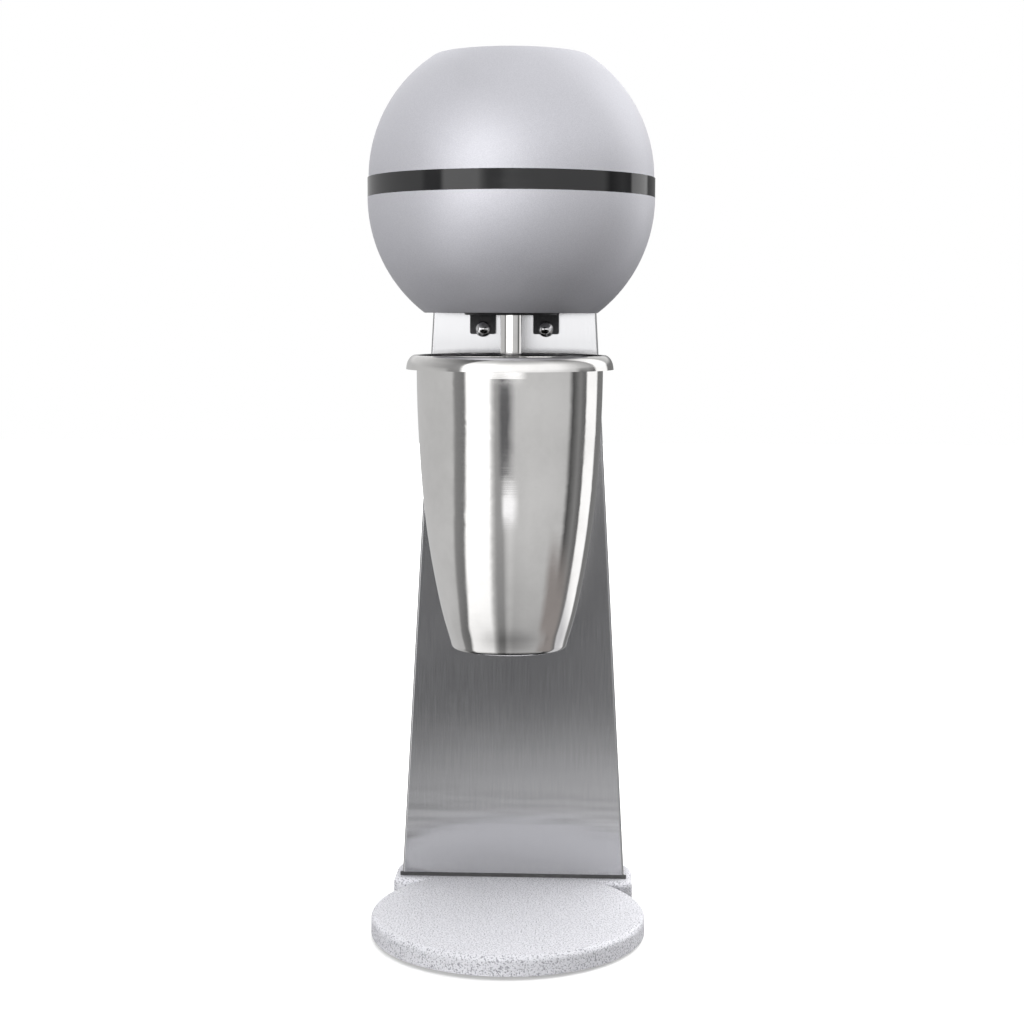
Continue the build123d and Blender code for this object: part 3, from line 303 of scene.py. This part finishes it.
MATERIALS = {
    "painted_silver": painted_silver(),
    "textured_silver": textured_silver(),
    "gloss_black": gloss_black(),
    "black_plastic": black_moulding(),
    "black_metal": black_moulding("black_metal", 0.42, 700.0),
    "black_rubber": rubber(),
    "brushed_stainless": brushed_stainless(),
    "polished_stainless": polished_stainless(),
    "plated_steel": metal("plated_steel", (0.60, 0.60, 0.62), 0.3),
    "bright_screws": metal("bright_screws", (0.75, 0.75, 0.76), 0.12, spread=0.03, depth=0.00001),
    "cast_aluminium": metal("cast_aluminium", (0.58, 0.59, 0.61), 0.48, grain=500.0, depth=0.00012),
    "laminations": laminations(),
    "copper": copper(),
    "brass": metal("brass", (0.72, 0.53, 0.22), 0.28),
    "carbon": black_moulding("carbon", 0.6, 2400.0),
    "bearing_steel": metal("bearing_steel", (0.66, 0.66, 0.67), 0.2),
    "white_plastic": plastic("white_plastic", (0.78, 0.77, 0.73)),
    "blue_plastic": plastic("blue_plastic", (0.07, 0.13, 0.32)),
}


def dress_cad_nodes():
    """Gives each CAD node the finish of its record slot."""
    slots = {p["node"]: p["material_slot"] for p in frame["record"]["subparts"]}
    for name, node in frame["nodes"].items():
        finish = MATERIALS[slots[name]]
        for place in node.material_slots:
            place.material = finish


dress_cad_nodes()


# ---- studio ----
def make_floor():
    """Wide pale floor that glows a little; it neither reflects in the object nor takes its shadow."""
    mesh = bpy.data.meshes.new("floor")
    half = FLOOR_HALF
    corners = [(-half, -half, 0), (half, -half, 0), (half, half, 0), (-half, half, 0)]
    mesh.from_pydata(corners, [], [(0, 1, 2, 3)])
    floor = bpy.data.objects.new("floor", mesh)
    scene.collection.objects.link(floor)
    s = Shader("floor", (0.93, 0.93, 0.93), 0.9, Emission_Color=(1.0, 1.0, 1.0, 1.0),
               Emission_Strength=0.25)
    s.link(s.mix(s.ramp(s.noise(3.0), 0.3, 0.7), (0.92, 0.92, 0.92), (0.94, 0.94, 0.94)), "Base Color")
    mesh.materials.append(s.material)
    floor.visible_glossy = False
    floor.visible_diffuse = False
    floor.visible_shadow = False


class Sky:
    """The studio as a function of direction: azimuth from the front and height over the horizon."""

    def __init__(self):
        world = bpy.data.worlds.new("studio")
        world.use_nodes = True
        scene.world = world
        self.tree = world.node_tree
        self.background = self.tree.nodes["Background"]
        direction = self.tree.nodes.new("ShaderNodeTexCoord").outputs["Generated"]
        split = self.tree.nodes.new("ShaderNodeSeparateXYZ")
        self.tree.links.new(direction, split.inputs["Vector"])
        back = self.math("MULTIPLY", split.outputs["Y"], -1.0)
        turn = self.math("ARCTAN2", split.outputs["X"], back)
        self.azimuth = self.math("DEGREES", turn)
        self.height = self.math("DEGREES", self.math("ARCSINE", split.outputs["Z"]))

    def math(self, operation, a, b=None):
        """Arithmetic on outputs or numbers."""
        node = self.tree.nodes.new("ShaderNodeMath")
        node.operation = operation
        for socket, value in zip(node.inputs, (a, b)):
            if value is None:
                continue
            if isinstance(value, (int, float)):
                socket.default_value = value
            else:
                self.tree.links.new(value, socket)
        return node.outputs["Value"]

    def steps(self, angle, low, high, to_low, to_high):
        """A value that changes evenly between two angles and is level outside them."""
        node = self.tree.nodes.new("ShaderNodeMapRange")
        node.inputs["From Min"].default_value = low
        node.inputs["From Max"].default_value = high
        node.inputs["To Min"].default_value = to_low
        node.inputs["To Max"].default_value = to_high
        self.tree.links.new(angle, node.inputs["Value"])
        return node.outputs["Result"]

    def profile(self, angle, low, high, stops):
        """Brightness along one angle, given as (degrees, value) stops."""
        node = self.tree.nodes.new("ShaderNodeValToRGB")
        self.tree.links.new(self.steps(angle, low, high, 0.0, 1.0), node.inputs["Fac"])
        elements = node.color_ramp.elements
        while len(elements) < len(stops):
            elements.new(0.5)
        for element, (degrees, value) in zip(elements, stops):
            element.position = (degrees - low) / (high - low)
            element.color = (value, value, value, 1.0)
        return node.outputs["Color"]

    def around(self, stops):
        """Brightness by azimuth, negative to the viewer's left."""
        return self.profile(self.azimuth, -180.0, 180.0, stops)

    def up(self, stops):
        """Brightness by height over the horizon."""
        return self.profile(self.height, -90.0, 90.0, stops)

    def choose(self, factor, a, b):
        """Blend of two values; with a factor of 1 it is b."""
        node = self.tree.nodes.new("ShaderNodeMix")
        node.data_type = "RGBA"
        self.tree.links.new(factor, node.inputs["Factor"])
        sockets = [s for s in node.inputs if s.type == "RGBA"]
        for socket, value in zip(sockets, (a, b)):
            if isinstance(value, tuple):
                socket.default_value = (*value, 1.0)
            else:
                self.tree.links.new(value, socket)
        return [s for s in node.outputs if s.type == "RGBA"][0]


def mirror_light(sky):
    """What shiny pieces see: soft box at the left front, strip at the right rear, card, table, walls."""
    narrow = sky.steps(sky.height, -32.0, -8.0, 0.60, 1.0)
    left = sky.math("MINIMUM", sky.math("ADD", sky.azimuth, 12.0), 0.0)
    left = sky.math("MULTIPLY", left, narrow)
    turned = sky.math("ADD", sky.math("MAXIMUM", sky.azimuth, -12.0), left)
    walls = sky.profile(turned, -180.0, 180.0, [
        (-180, 0.55), (-73, 0.60), (-68, 0.26), (-55, 0.20), (-51, 1.45), (-24, 1.45), (-19, 0.66),
        (-15, 0.36), (-7, 0.36), (-2, 0.62), (3, 0.72), (12, 0.62), (30, 0.66), (80, 0.60),
        (87, 0.08), (100, 0.25), (111, 0.12), (114, 1.2), (138, 1.2), (142, 0.20), (180, 0.22)])
    ceiling = sky.around([
        (-180, 0.9), (-90, 0.45), (-66, 0.30), (-55, 0.30), (-50, 1.5), (-18, 1.5), (-10, 1.3),
        (60, 1.15), (90, 0.6), (110, 0.4), (114, 1.3), (140, 1.3), (145, 0.5), (180, 0.9)])
    walls = sky.choose(sky.steps(sky.height, 7.0, 14.0, 0.0, 1.0), walls, ceiling)
    rise = sky.up([(-90, 0.03), (-50, 0.06), (-38, 0.70), (-20, 1.0), (35, 1.0), (60, 0.45), (90, 0.3)])
    walls = sky.math("MULTIPLY", walls, rise)
    bench = sky.math("MULTIPLY", sky.around([(58, 0.0), (70, 1.0), (98, 1.0), (110, 0.0)]),
                     sky.up([(-40, 0.0), (-34, 1.0), (-24, 1.0), (-18, 0.0)]))
    light = sky.choose(bench, walls, (0.31, 0.285, 0.275))
    shade = sky.math("MULTIPLY", sky.around([(108, 0.0), (113, 1.0), (141, 1.0), (146, 0.0)]),
                     sky.up([(-50, 0.0), (-42, 1.0), (-26, 1.0), (-18, 0.0)]))
    light = sky.choose(shade, light, (0.66, 0.66, 0.68))
    table = sky.math("MULTIPLY", sky.around([(-9, 0.0), (-4, 1.0), (6, 1.0), (16, 0.0)]),
                     sky.up([(-20.5, 0.0), (-17.4, 1.0), (-15.4, 1.0), (-14.0, 0.0)]))
    light = sky.choose(table, light, (1.2, 1.2, 1.22))
    card = sky.math("MULTIPLY", sky.around([(-13, 0.0), (-7, 1.0), (0, 1.0), (11, 0.0)]),
                    sky.up([(-13.7, 0.0), (-12.4, 1.0), (-3.4, 1.0), (-2.0, 0.0)]))
    light = sky.choose(card, light, (0.13, 0.13, 0.135))
    strip = sky.math("MULTIPLY", sky.around([(-30, 0.0), (-24, 1.0), (14, 1.0), (24, 0.0)]),
                     sky.up([(-1.8, 0.0), (-1.3, 1.0), (2.4, 1.0), (3.4, 0.0)]))
    return sky.choose(strip, light, (2.4, 2.4, 2.4))


def soft_light(sky):
    """What lights matt pieces, apart from mirror_light: a strong low band at the front, weak elsewhere."""
    low = sky.math("MULTIPLY", sky.around([
        (-180, 0.03), (-100, 0.06), (-45, 0.04), (0, 0.02), (40, 0.01), (95, 0.01), (125, 0.08),
        (150, 0.05), (180, 0.03)]), sky.up([(-90, 0.10), (-40, 0.3), (-8, 1.0), (0, 1.2), (90, 1.2)]))
    middle = sky.around([
        (-180, 1.0), (-100, 0.5), (-70, 1.6), (-45, 7.6), (-5, 10.2), (12, 4.0), (30, 0.3), (70, 0.2),
        (95, 1.0), (115, 4.8), (145, 4.8), (165, 1.4), (180, 1.2)])
    high = sky.math("MULTIPLY", sky.around([
        (-180, 3.0), (-130, 2.2), (-75, 0.3), (0, 0.2), (35, 0.5), (70, 1.5), (120, 3.2), (180, 3.2)]),
                    sky.up([(0, 1.2), (35, 1.15), (90, 0.60)]))
    light = sky.choose(sky.steps(sky.height, 0.0, 7.0, 0.0, 1.0), low, middle)
    return sky.choose(sky.steps(sky.height, 13.0, 26.0, 0.0, 1.0), light, high)


def make_world():
    """One light for shiny surfaces, another for matt ones, and plain white behind the object."""
    sky = Sky()
    rays = sky.tree.nodes.new("ShaderNodeLightPath").outputs
    light = sky.choose(rays["Is Glossy Ray"], soft_light(sky), mirror_light(sky))
    light = sky.choose(rays["Is Camera Ray"], light, (1.0, 1.0, 1.0))
    sky.tree.links.new(light, sky.background.inputs["Color"])


make_floor()
make_world()
